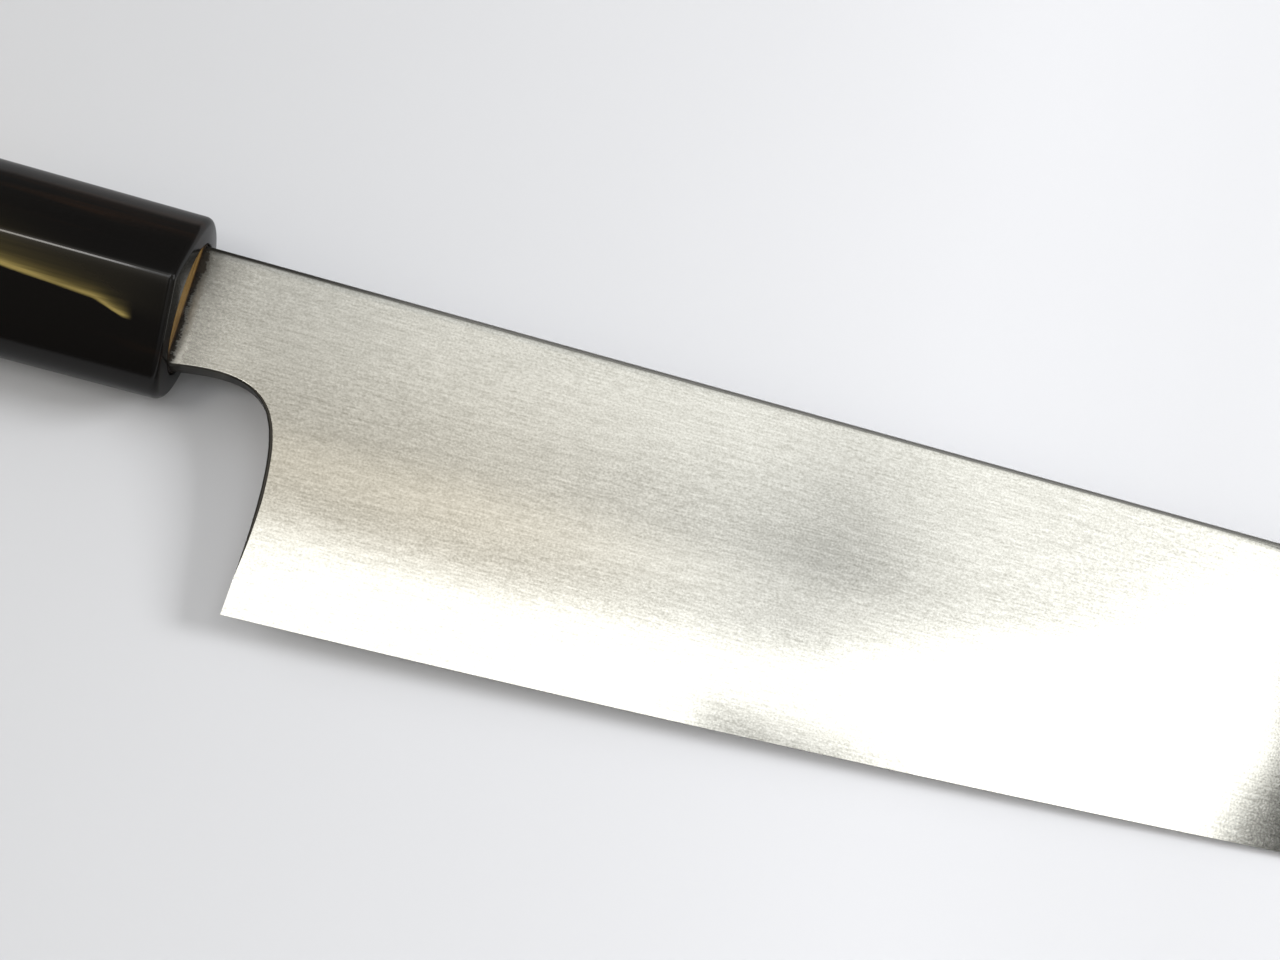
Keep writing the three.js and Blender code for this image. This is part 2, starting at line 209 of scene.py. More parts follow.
class StageSettings(bpy.types.PropertyGroup):
    """Light, floor and camera"""

    sky_light: amount("Overhead light", "Soft light from straight above", 1.0)
    horizon_light: amount("Horizon light", "Soft light from low down", 0.045)
    window_light: amount("Window light", "Soft window overhead and in front", 1.25)
    strip_light: amount("Strip light", "Narrow bright strip over the handle", 8.0)
    sky_cool: colour("Sky, cool", "Tint of most of the dome", (0.97, 0.985, 1.0))
    sky_warm: colour("Sky, warm", "Tint of the dome over the handle", (1.0, 0.95, 0.87))
    side_panel: amount("Side panel", "Radiance of the panel beyond the tip", 16.0)
    panel_size: length("Panel size", "Side of the square panel", 0.30)
    panel_place: offset("Panel place", "Panel from the drawing's origin", (0.74, 0.24, 0.50))
    floor_pitch: angle("Floor pitch", "Rise of the floor towards the tip", 1.69)
    floor_roll: angle("Floor roll", "Rise of the floor towards the edge", 7.89)
    floor_touch: offset(
        "Floor contact", "Where the handle touches the floor", (-58.83 * MM, 10.75 * MM, 0.65 * MM))
    lens: FloatProperty(name="Lens", description="Focal length", default=46.4, unit="CAMERA")
    sensor: FloatProperty(name="Sensor", description="Width of the sensor", default=36.0, unit="CAMERA")
    eye: offset("Camera", "Camera from the drawing's origin", (49.92 * MM, -59.21 * MM, 213.28 * MM))
    look: direction("Look", "Way that the camera looks", (0.0605, 0.2396, -0.9690))
    upright: direction("Upright", "Way that is up in the picture", (-0.2609, 0.9408, 0.2163))


# Shader arithmetic

class Strand:
    """A socket of a finish that joins in plain arithmetic: each operation adds a Math node"""

    def __init__(self, finish, socket):
        self.finish = finish
        self.socket = socket

    def math(self, operation, *values):
        sockets = dict(enumerate(values))
        return self.finish.add("ShaderNodeMath", "Value", {"operation": operation}, sockets)

    def __neg__(self):
        return self.math("MULTIPLY", self, -1.0)

    def __abs__(self):
        return self.math("ABSOLUTE", self)

    def __add__(self, other):
        return self.math("ADD", self, other)

    def __radd__(self, other):
        return self.math("ADD", other, self)

    def __sub__(self, other):
        return self.math("SUBTRACT", self, other)

    def __rsub__(self, other):
        return self.math("SUBTRACT", other, self)

    def __mul__(self, other):
        return self.math("MULTIPLY", self, other)

    def __rmul__(self, other):
        return self.math("MULTIPLY", other, self)

    def __truediv__(self, other):
        return self.math("DIVIDE", self, other)

    def __rtruediv__(self, other):
        return self.math("DIVIDE", other, self)

    def __pow__(self, other):
        return self.math("POWER", self, other)

    def __rpow__(self, other):
        return self.math("POWER", other, self)

    def exp(self):
        return self.math("EXPONENT", self)

    def sine(self):
        return self.math("SINE", self)

    def cosine(self):
        return self.math("COSINE", self)

    def least(self, other):
        return self.math("MINIMUM", self, other)

    def most(self, other):
        return self.math("MAXIMUM", self, other)

    def ramp(self, start, end):
        """0 at start and 1 at end, eased at both"""
        settings = {"interpolation_type": "SMOOTHSTEP"}
        sockets = {"Value": self, "From Min": start, "From Max": end}
        return self.finish.add("ShaderNodeMapRange", "Result", settings, sockets)


class Finish:
    """A node tree that is written as expressions"""

    def __init__(self, tree):
        self.tree = tree
        tree.nodes.clear()

    def add(self, kind, output, settings=None, sockets=None):
        """Adds a node: its settings first, then the values or links of its sockets"""
        node = self.tree.nodes.new(kind)
        for name, value in (settings or {}).items():
            setattr(node, name, value)
        for name, value in (sockets or {}).items():
            socket = node.inputs[name]
            if isinstance(value, Strand):
                self.tree.links.new(value.socket, socket)
            else:
                socket.default_value = value
        return Strand(self, node.outputs[output]) if node.outputs else None

    def place(self):
        """Object coordinates, measured from the drawing's origin"""
        coordinates = self.add("ShaderNodeTexCoord", "Object")
        return self.add("ShaderNodeMapping", "Vector", None, {"Vector": coordinates, "Location": -ORIGIN})

    def split(self, vector):
        """The three parts of a vector"""
        parts = self.add("ShaderNodeSeparateXYZ", "X", None, {"Vector": vector})
        return [Strand(self, socket) for socket in parts.socket.node.outputs]

    def grain(self, place, scale, detail=2.0, roughness=0.5, distortion=0.0):
        """Noise with its own number of waves per metre along each axis"""
        stretched = self.add("ShaderNodeMapping", "Vector", None, {"Vector": place, "Scale": scale})
        return self.add("ShaderNodeTexNoise", "Fac", None, {
            "Vector": stretched,
            "Scale": 1.0,
            "Detail": detail,
            "Roughness": roughness,
            "Distortion": distortion,
        })

    def blend(self, share, first, second):
        """Mixes two colours, through the colour sockets of a Mix node"""
        settings = {"data_type": "RGBA", "blend_type": "MIX", "clamp_factor": True}
        return self.add("ShaderNodeMix", 2, settings, {0: share, 6: first, 7: second})

    def bump(self, height, distance):
        return self.add("ShaderNodeBump", "Normal", None, {"Height": height, "Distance": distance})

    def surface(self, sockets):
        """A principled shader on the output"""
        shader = self.add("ShaderNodeBsdfPrincipled", "BSDF", None, sockets)
        self.add("ShaderNodeOutputMaterial", None, None, {"Surface": shader})


def new_finish(name):
    material = bpy.data.materials.new(name)
    material.use_nodes = True
    return material, Finish(material.node_tree)


def shade(colour_property):
    return (*colour_property, 1.0)


# Finishes

# Noise swings about this value
MEAN = 0.5

# Roughness of satin steel, polished horn, sanded wood, wiped resin and the floor
SATIN, POLISHED, SANDED, WIPED, MATT = 0.1, 0.12, 0.52, 0.3, 0.58

# Radius of the flat round of floor under the knife
FLOOR_ROUND = 0.34


def brushed_steel(name, colours):
    """Satin steel with strokes along the blade, rougher narrow sides in painted shade, and a ragged dark
    residue in painted shade beside the ferrule
    """
    material, finish = new_finish(name)
    place = finish.place()
    x, y = finish.split(place)[:2]

    # Strokes: specks, short scratches and long ones, under slow clouds
    speck = finish.grain(place, (3100, 3700, 3700), 1.0)
    short = finish.grain(place, (530, 3500, 3500), 1.0)
    long = finish.grain(place, (130, 3300, 3300), 1.0)
    cloud = finish.grain(place, (30, 110, 110))
    strokes = speck * 0.5 + short * 0.28 + long * 0.22
    contrast, cloudiness = 2.6, 0.2
    tone = (strokes - MEAN) * contrast + (cloud - MEAN) * cloudiness + 0.5
    steel = finish.blend(tone, shade(colours.steel_dark), shade(colours.steel_light))

    # Narrow sides: the spine, the underside of the neck and the choil wall, told by the way they face. Their
    # colours are painted shade by the way each faces: darkest on the choil wall, dark on the underside and on
    # the spine near the ferrule, lighter on the spine further on.
    back, up, face = finish.split(finish.add("ShaderNodeTexCoord", "Normal"))
    narrow = abs(face).ramp(0.992, 0.965).most(back.ramp(-0.02, -0.09))
    spine = finish.blend(x.ramp(4 * MM, 40 * MM), shade(colours.steel_narrow_shade), shade(colours.steel_spine_shade))
    narrow_shade = finish.blend(up.ramp(0.1, 0.35), shade(colours.steel_narrow_shade), spine)
    narrow_shade = finish.blend(back.ramp(-0.03, -0.12), narrow_shade, shade(colours.steel_choil_shade))
    narrow_shaded = finish.blend(narrow, steel, narrow_shade)

    # Beside the ferrule: a ragged crust of residue, in painted shade that is deeper above the middle
    ragged = finish.grain(place, (340, 620, 620), 5.0, 0.72)
    drift = x - (ragged - MEAN) * (3 * MM)
    upper = y.ramp(-1 * MM, 6 * MM)
    flaked = (ragged - 0.43 + upper * 0.07) * (2.6 * MM) + (strokes - MEAN) * (1.6 * MM)
    crust = (x - flaked).ramp(0.35 * MM, -0.1 * MM)
    scale = finish.blend(ragged.ramp(0.38, 0.62), shade(colours.scale_black), shade(colours.scale_brown))
    deep = drift.ramp(3.2 * MM, 0.8 * MM) * 1.6 + x.ramp(9 * MM, 1 * MM)
    ferrule_shade = x.ramp(8 * MM, 0.0) * 0.36 + deep * upper * 0.17
    ferrule_shaded = finish.blend(ferrule_shade, narrow_shaded, shade(colours.steel_ferrule_shade))
    stained = finish.blend(crust, ferrule_shaded, scale)
    matt = x.ramp(16 * MM, 4 * MM) * 0.06 + drift.ramp(1.8 * MM, 0.9 * MM) * 0.22
    rough = SATIN + (strokes - MEAN) * 0.08 + (cloud - MEAN) * 0.02 + matt + narrow * 0.25 + crust * 0.35
    finish.surface({
        "Base Color": stained,
        "Metallic": 1.0 - crust * 0.8,
        "Roughness": rough,
        "Anisotropic": 0.7,
        "Normal": finish.bump(strokes, 0.002 * MM),
    })
    return material


def polished_horn(colours):
    """Black horn with faint brown streaks, a painted warm reflection below the ridge drawn as an amber vein,
    and a painted grey sheen under the ridge
    """
    material, finish = new_finish("polished_black_horn")
    place = finish.place()
    x, y, z = finish.split(place)
    streak = finish.grain(place, (22, 620, 620), 4.0, 0.6, 0.4)
    wide = finish.grain(place, (9, 130, 130))
    brown = (streak * 0.6 + wide * 0.4).ramp(0.5, 0.72)
    ground = finish.blend(brown, shade(colours.horn_black), shade(colours.horn_brown))
    fibre = finish.grain(place, (60, 2400, 2400), 3.0, 0.6)
    flank = z.ramp(5 * MM, 7 * MM)

    # The painted reflection's lower border falls towards the front of the ferrule, and its light fades out
    # above that
    bend = x.ramp(-10.4 * MM, -5.6 * MM) * (0.95 * MM)
    low = -5.04 * MM - x * 0.067 - bend + (fibre - MEAN) * (0.4 * MM)
    above = y - low
    strength = x.ramp(-14 * MM, -24 * MM) * 0.35 + x.ramp(-10 * MM, -8 * MM) * 0.3 + 0.72
    bright = ((0.35 * MM - above) / (0.4 * MM)).exp() * strength
    faint = (-above / (0.1 * MM - x * 0.07)).exp() * 0.3
    amber_reflection = (bright + faint) * above.ramp(-0.05 * MM, 0.4 * MM)
    amber_reflection = amber_reflection * x.ramp(-4.6 * MM, -6.4 * MM) * flank
    amber_reflection = amber_reflection * (fibre * 1.5 + 0.25)
    # Painted sheen: lighter horn in a band just under the ridge, fading towards the front
    glow = above.ramp(0.2 * MM, 2.5 * MM) * y.ramp(0.9 * MM, 0.2 * MM) * flank
    glow = glow * (x.ramp(-1 * MM, -8 * MM) * 0.6 + 0.25)
    lit = finish.blend(glow, ground, shade(colours.horn_ridge_sheen))
    body = finish.blend(amber_reflection, lit, shade(colours.horn_amber_reflection))
    finish.surface({
        "Base Color": body,
        "Roughness": POLISHED + (fibre - MEAN) * 0.06,
        "IOR": 1.47,
        "Normal": finish.bump(fibre, 0.0005 * MM),
    })
    return material


def sanded_magnolia(colours):
    """Pale wood with fine grain along the handle, short dark pores and painted shade on its end in the mouth
    """
    material, finish = new_finish("sanded_magnolia")
    place = finish.place()
    x, y, z = finish.split(place)
    drift = finish.grain(place, (7, 55, 55))
    rings = (y * 2400 + z * 900 + drift * 26).sine()
    fibre = finish.grain(place, (55, 3000, 3000), 3.0, 0.6)
    pores = finish.grain(place, (240, 5200, 5200)).ramp(0.62, 0.72)
    tone = rings * 0.2 + (fibre - MEAN) * 0.9 + drift * 0.5 + 0.2
    wood = finish.blend(tone, shade(colours.wood_pale), shade(colours.wood_deep))
    pored = finish.blend(pores * 0.5, wood, shade(colours.wood_pore))

    # End of the tenon: painted shade over it, stained streaks beside the slot, and darker at its top and
    # bottom
    mouth = x.ramp(-2 * MM, -0.3 * MM) * (0.75 + fibre * 0.3)
    mouth_shaded = finish.blend(mouth, pored, shade(colours.wood_mouth_shade))
    streaks = finish.grain(place, (700, 120, 1100), 2.0, 0.6).ramp(0.46, 0.7)
    stain = abs(z).ramp(4.4 * MM, 3.7 * MM)
    stained = finish.blend(mouth * (streaks * 0.7).most(stain), mouth_shaded, shade(colours.wood_stain))
    # Darker towards the top and bottom of the tenon's end
    brim = abs(y).ramp(6.9 * MM, 8.4 * MM) * x.ramp(-2 * MM, -0.5 * MM)
    brim_darkened = finish.blend(brim, stained, shade(colours.wood_brim_dark))
    finish.surface({
        "Base Color": brim_darkened,
        "Roughness": SANDED + (fibre - MEAN) * 0.2 + pores * 0.15,
        "Specular IOR Level": 0.1,
        "Normal": finish.bump(fibre * 0.6 - pores * 0.8, 0.02 * MM),
    })
    return material


def set_resin(colours):
    """Dark resin, uneven where it was wiped"""
    material, finish = new_finish("set_resin")
    lumps = finish.grain(finish.place(), (900, 900, 900), 4.0, 0.6)
    body = finish.blend(lumps.ramp(0.35, 0.7), shade(colours.resin_black), shade(colours.resin_brown))
    finish.surface({
        "Base Color": body,
        "Roughness": WIPED + lumps * 0.3,
        "Normal": finish.bump(lumps, 0.25 * MM),
    })
    return material


def pale_floor(colours):
    """Smooth pale board, with painted light: lighter towards the tip than beside the handle"""
    material, finish = new_finish("pale_floor")
    place = finish.place()
    x, y = finish.split(place)[:2]
    cloud = finish.grain(place, (14, 14, 14), 3.0)
    # Painted light: the floor's colour grows lighter towards the tip and dims again far beyond it
    across = (x * 4.2 + 0.43 + (cloud - MEAN) * 0.1).most(0.0).least(1.0) - x.ramp(0.1, 0.15) * 0.3
    tone = finish.blend(across, shade(colours.floor_pale_shaded), shade(colours.floor_pale_lit))
    far = (x * x + y * y).ramp(0.15 ** 2, FLOOR_ROUND ** 2)
    mirrored = finish.add("ShaderNodeLightPath", "Is Glossy Ray") * (far * 0.45 + 0.5)
    finish.surface({
        "Base Color": finish.blend(mirrored, tone, shade(colours.floor_mirrored)),
        "Roughness": MATT + cloud * 0.06,
    })
    return material


# Drawing

# Points along a long, a middling and a short curve
LONG, MIDDLING, SHORT = 400, 200, 100

# Points that lie closer than this are sewn together
SEWN = 0.0001 * MM

# Edges of the core, the resin and the other pieces that turn by more than this stay crisp
CORE_CRISP, RESIN_CRISP, CRISP = math.radians(20), math.radians(50), math.radians(40)

# Places of the rings between two ends
FIFTHS = (0.2, 0.4, 0.6, 0.8)


def between(first, last, share):
    return first + (last - first) * share


def bezier(handles, count):
    """Points along a Bezier curve of any degree, as rows of two"""
    share = np.linspace(0.0, 1.0, count)[:, None]
    rows = [np.array(handle, float) + share * 0.0 for handle in handles]
    while len(rows) > 1:
        rows = [between(a, b, share) for a, b in zip(rows, rows[1:])]
    return rows[0]


def walk(points):
    """Share of the way along a line of points at which each of them lies"""
    steps = np.linalg.norm(np.diff(points, axis=0), axis=1)
    return np.concatenate([[0.0], np.cumsum(steps)]) / steps.sum()


def skin(rings, closed=False):
    """A sheet laid through section rings and sewn up: capped at both ends, or joined end to end"""
    rows = [[*ring, ring[0]] for ring in rings]
    if closed:
        rows.append(rows[0])
    bm = bmesh.new()
    sheet = bmesh.ops.create_grid(bm, x_segments=len(rows[0]) - 1, y_segments=len(rows) - 1, size=1.0)
    for vert, point in zip(sheet["verts"], [point for row in rows for point in row]):
        vert.co = point
    bmesh.ops.remove_doubles(bm, verts=bm.verts, dist=SEWN)
    bmesh.ops.holes_fill(bm, edges=[edge for edge in bm.edges if edge.is_boundary], sides=0)
    return bm


def finished_piece(bm, name, material, sharp):
    """Puts a drawn mesh in its place in the frame, as an object with its finish"""
    bmesh.ops.translate(bm, verts=bm.verts, vec=ORIGIN)
    bmesh.ops.recalc_face_normals(bm, faces=bm.faces)
    mesh = bpy.data.meshes.new(name)
    bm.to_mesh(mesh)
    bm.free()
    mesh.shade_smooth()
    mesh.set_sharp_from_angle(angle=sharp)
    mesh.materials.append(material)
    piece = bpy.data.objects.new(name, mesh)
    bpy.context.scene.collection.objects.link(piece)
    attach(piece, "root")
    return piece


def stroke_along_blade(piece):
    """Lays the texture space so that the sheen spreads across the strokes, which run along the blade"""
    far_behind = -1000.0
    piece.data.use_auto_texspace = False
    piece.data.texspace_location = (far_behind, 0.0, 0.0)
    piece.data.texspace_size = (1.0, 1.0, 1.0)


# Blade

class Station:
    """A line across the blade's face, from the spine to the choil or the edge"""

    def __init__(self, upper, lower, inward):
        self.upper = np.array(upper, float)
        self.lower = np.array(lower, float)
        self.inward = np.array(inward, float)

    def at(self, share):
        return between(self.upper, self.lower, np.asarray(share, float)[..., None])


def tang_thickness(sizes, x):
    """Thickness of the tang, which falls evenly from the neck to its end"""
    return sizes.neck_thickness + (sizes.neck_thickness - sizes.tang_thickness) * x / sizes.tang_length


class BladeShape:
    """Curves and thickness of the blade"""

    # Quarter turns at which lines lie across the round end of the tang
    END_TURNS = (0.12, 0.5, 1.0)
    # Shares of the way along the neck and choil at which lines start, closer together near the heel
    CHOIL_SHARES = (*np.linspace(0, 0.86, 34), *np.linspace(0.87, 1, 16))
    # Stretch of the spine that those lines fan out to
    FAN = 24 * MM
    # Number of lines from heel to tip, and the length in which they turn upright
    EDGE_LINES = 121
    SETTLE = 80 * MM
    # Last line, short of the tip
    TIP_SHORT = 0.12 * MM

    def __init__(self, sizes):
        self.sizes = sizes
        rise = sizes.spine_rise
        self.heel = np.array([sizes.heel_setback, -sizes.heel_drop])
        self.tip = np.array([sizes.tip_reach, rise - sizes.tip_drop])
        fall = self.tip[0] - sizes.spine_straight
        trail = sizes.spine_trail * fall
        self.spine = bezier([
            (sizes.spine_straight, rise), (sizes.spine_straight + sizes.spine_lead * fall, rise),
            (self.tip[0] - trail, self.tip[1] + trail * sizes.tip_spine_slope), self.tip], LONG)
        half = sizes.edge_flat / 2
        belly = self.heel + (sizes.edge_flat, sizes.edge_flat_rise)
        knee = self.heel + (half, half * sizes.edge_heel_slope)
        ahead = self.tip[0] - belly[0]
        leave = belly + sizes.belly_lead * ahead * np.array([1.0, (belly[1] - knee[1]) / half])
        arrive = self.tip - sizes.belly_trail * ahead * np.array([1.0, sizes.tip_edge_slope])
        flat = bezier([self.heel, knee, belly], MIDDLING)
        self.edge = np.vstack([flat, bezier([belly, leave, arrive, self.tip], LONG)[1:]])
        under = rise - sizes.neck_height
        throat = np.array([self.heel[0] + sizes.choil_undercut, rise - sizes.choil_throat])
        arch = bezier([
            (0.0, under), (sizes.neck_reach, under + sizes.neck_arch),
            (throat[0], throat[1] + sizes.choil_hook), throat], MIDDLING)
        wall = bezier([throat, (throat[0], (throat[1] + self.heel[1]) / 2), self.heel], SHORT)
        self.choil = np.vstack([arch, wall[1:]])

    def top(self, x):
        return np.interp(x, self.spine[:, 0], self.spine[:, 1])

    def low(self, x):
        return np.interp(x, self.edge[:, 0], self.edge[:, 1]) - self.sizes.edge_thickness

    def thinning(self, y):
        return self.sizes.flat_taper * (self.sizes.spine_rise - y)

    def spine_thickness(self, x):
        """Thickness at the spine, which falls evenly from the neck to the tip"""
        sizes = self.sizes
        return sizes.neck_thickness + (sizes.tip_thickness - sizes.neck_thickness) * x / self.tip[0]

    def flat_half(self, x, y):
        """Half thickness of the flats, in front of the ferrule and on the tang"""
        thick = np.where(x >= 0, self.spine_thickness(x), tang_thickness(self.sizes, x))
        return thick / 2 - self.thinning(y)

    def core_half(self, x, y):
        """Half thickness of the core layer before the bevel cuts into it"""
        return self.sizes.core_share * (self.spine_thickness(x) / 2 - self.thinning(y))

    def shoulder(self, x):
        """Line at which the flat ends and the bevel starts"""
        return between(self.top(x), self.low(x), self.sizes.flat_share)

    def half(self, x, y):
        """Half thickness of the blade: a flat, then a convex bevel that leaves it tangentially"""
        low, shoulder = self.low(x), self.shoulder(x)
        full = 1 - (1 - np.clip((y - low) / (shoulder - low), 0, 1)) ** 2
        return between(self.sizes.edge_thickness / 2, self.flat_half(x, y), full)

    def stations(self):
        """Lines across the tang, the neck and choil, and the edge, from the tang's end to the tip"""
        sizes = self.sizes
        end, root = sizes.tang_tip_height / 2, sizes.tang_root_height / 2
        upright = (0, 1)
        lines = []
        for turn in self.END_TURNS:
            x = -sizes.tang_length + end * (1 - math.cos(turn * math.pi / 2))
            tall = end * math.sin(turn * math.pi / 2)
            lines.append(Station((x, tall), (x, -tall), upright))
        lines.append(Station((-sizes.tang_shoulder, root), (-sizes.tang_shoulder, -root), upright))
        walked = walk(self.choil)
        normals = np.gradient(self.choil, axis=0)[:, ::-1] * (-1, 1)
        normals /= np.linalg.norm(normals, axis=1)[:, None]
        for share in self.CHOIL_SHARES:
            place = [np.interp(share, walked, self.choil[:, axis]) for axis in (0, 1)]
            inward = [np.interp(share, walked, normals[:, axis]) for axis in (0, 1)]
            lines.append(Station((self.FAN * share, sizes.spine_rise), place, inward))
        heel, tip = self.heel[0], self.tip[0] - self.TIP_SHORT
        for share in np.sin(np.linspace(0, math.pi / 2, self.EDGE_LINES))[1:]:
            x = between(heel, tip, share)
            settled = np.clip((x - heel) / self.SETTLE, 0, 1)
            above = x + (self.FAN - heel) * (1 - settled * settled * (3 - 2 * settled))
            lines.append(Station((above, self.top(above)), (x, np.interp(x, *self.edge.T)), upright))
        return lines


class BladeLayer:
    """Section rings of one steel layer"""

    # Points at which a line is searched for the parting
    SEARCH_POINTS = 1200
    # Largest rounding of the spine: its depth in the thickness and the flat, and its height in the flat
    EASE_LIMIT, SOFT_LIMIT = 0.4, 0.8
    # Steel left inside the rounding of a cladding's foot, and the share of the rest that it takes
    FOOT_LEFT, FOOT_SHARE = 0.01 * MM, 0.9
    # Narrow bands at both ends of a face, which keep it flat there, and their widest share of it
    BAND, BAND_LIMIT = 0.006 * MM, 0.01
    # Points over the spine, down its rounding, down a face, round a foot and back up the weld
    SPINE_SHARES = (0.0, 0.5)
    SOFT_SHARES = np.linspace(0, 1, 11) ** 1.5
    FACE_POINTS, FOOT_POINTS, WELD_POINTS = 41, 10, 9
    # Share of the height at which the core's open strip starts at the latest, and the step at its start
    STRIP_LATEST, STRIP_STEP = 0.97, 0.0001
    # Points of the core down its weld and down its open strip
    CORE_POINTS, STRIP_POINTS = 8, 14

    def __init__(self, shape):
        self.shape = shape
        self.gap = shape.sizes.weld_line / 2

    def parting(self, station):
        """Share of the line at which the bevel has cut down to the core, or 1 where it doesn't"""
        share = np.linspace(0, 1, self.SEARCH_POINTS)
        x, y = station.at(share).T
        left = self.shape.half(x, y) - self.shape.core_half(x, y) - self.gap
        below = np.nonzero(left < 0)[0]
        if not len(below):
            return 1.0
        last = below[0] - 1
        return share[last] + (share[last + 1] - share[last]) * left[last] / (left[last] - left[last + 1])

    def spine_fall(self, share):
        """Depth of the spine's rounding: steep at the corner, then running out slowly into the flat"""
        return 0.7 * (1 - share) ** 6 + 0.3 * (1 - share) ** 2

    def cladding_ring(self, station):
        """Over the spine, down the face, round the foot at the choil or the core, and back up the weld"""
        shape, sizes = self.shape, self.shape.sizes
        x, top = station.upper
        crown = float(shape.flat_half(x, top))
        room = max(float(top - shape.shoulder(x)), 0.0)
        ease = min(sizes.spine_ease, self.EASE_LIMIT * crown, self.EASE_LIMIT * room)
        soft = min(sizes.spine_soft, self.SOFT_LIMIT * room)
        cut = self.parting(station)
        foot = station.at(cut)
        inward = station.inward
        if cut < 1.0:
            inward = (station.upper - station.lower) / np.linalg.norm(station.upper - station.lower)
        depth = float(shape.half(*foot) - shape.core_half(*foot)) - self.gap
        widest = between(sizes.neck_ease, sizes.choil_ease, inward[0] ** 2)
        rounding = min(widest, self.FOOT_SHARE * max(depth - self.FOOT_LEFT, 0.0))
        points = []
        seat = float(shape.core_half(x, top)) + self.gap
        for share in self.SPINE_SHARES:
            points.append((x, top, between(seat, crown - ease, share)))
        for share in self.SOFT_SHARES:
            y = top - soft * share
            points.append((x, y, float(shape.flat_half(x, y)) - ease * self.spine_fall(share)))
        start = np.array([x, top - soft])
        end = foot + inward * rounding
        near = min(self.BAND / np.linalg.norm(end - start), self.BAND_LIMIT)
        for share in (near, *np.linspace(0, 1, self.FACE_POINTS)[1:-1], 1 - near, 1):
            place = between(start, end, share)
            points.append((*place, float(shape.half(*place))))
        for turn in np.linspace(0, math.pi / 2, self.FOOT_POINTS)[1:]:
            place = foot + inward * rounding * (1 - math.sin(turn))
            points.append((*place, float(shape.half(*end)) - rounding * (1 - math.cos(turn))))
        for share in np.linspace(1, 0, self.WELD_POINTS)[:-1]:
            place = between(station.upper, foot, share)
            points.append((*place, float(shape.core_half(*place)) + self.gap))
        return points

    def core_ring(self, station):
        """Down the right-hand weld and open strip to the edge, and back up on the left"""
        shape = self.shape
        parting = self.parting(station)
        cut = min(parting, self.STRIP_LATEST)
        below = cut + (1 - cut) * np.linspace(self.STRIP_STEP, 1, self.STRIP_POINTS)
        right = []
        for place in station.at(np.append(np.linspace(0, cut, self.CORE_POINTS), below[0])):
            right.append((*place, float(shape.core_half(*place)) - self.gap))
        for place in station.at(below):
            thick = float(shape.half(*place))
            if parting > self.STRIP_LATEST:
                thick = min(thick, float(shape.core_half(*place)) - self.gap)
            right.append((*place, thick))
        left = [(x, y, -z) for x, y, z in reversed(right)]
        return right + left


class KNIFE_OT_blade_core(bpy.types.Operator):
    """Draws the hard core layer, which shows along the edge, the spine and the choil"""

    bl_idname = "knife.blade_core"
    bl_label = "Blade core"

    def execute(self, context):
        shape = BladeShape(context.scene.knife_blade)
        layer = BladeLayer(shape)
        bm = skin([layer.core_ring(station) for station in shape.stations()])
        steel = brushed_steel("core_steel_satin", context.scene.knife_colours)
        piece = finished_piece(bm, "core_layer", steel, CORE_CRISP)
        stroke_along_blade(piece)
        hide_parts("blade_core")
        return {"FINISHED"}


class KNIFE_OT_claddings(bpy.types.Operator):
    """Draws the two soft outer layers, which are each other's mirror image"""

    bl_idname = "knife.claddings"
    bl_label = "Claddings"

    def execute(self, context):
        shape = BladeShape(context.scene.knife_blade)
        layer = BladeLayer(shape)
        rings = [layer.cladding_ring(station) for station in shape.stations()]
        steel = brushed_steel("cladding_steel_satin", context.scene.knife_colours)
        for side, node, facing in (("right", "cladding_right", 1.0), ("left", "cladding_left", -1.0)):
            bm = skin(rings)
            bmesh.ops.scale(bm, verts=bm.verts, vec=(1.0, 1.0, facing))
            piece = finished_piece(bm, side + "_cladding_layer", steel, CRISP)
            stroke_along_blade(piece)
            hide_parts(node)
        return {"FINISHED"}


# Handle

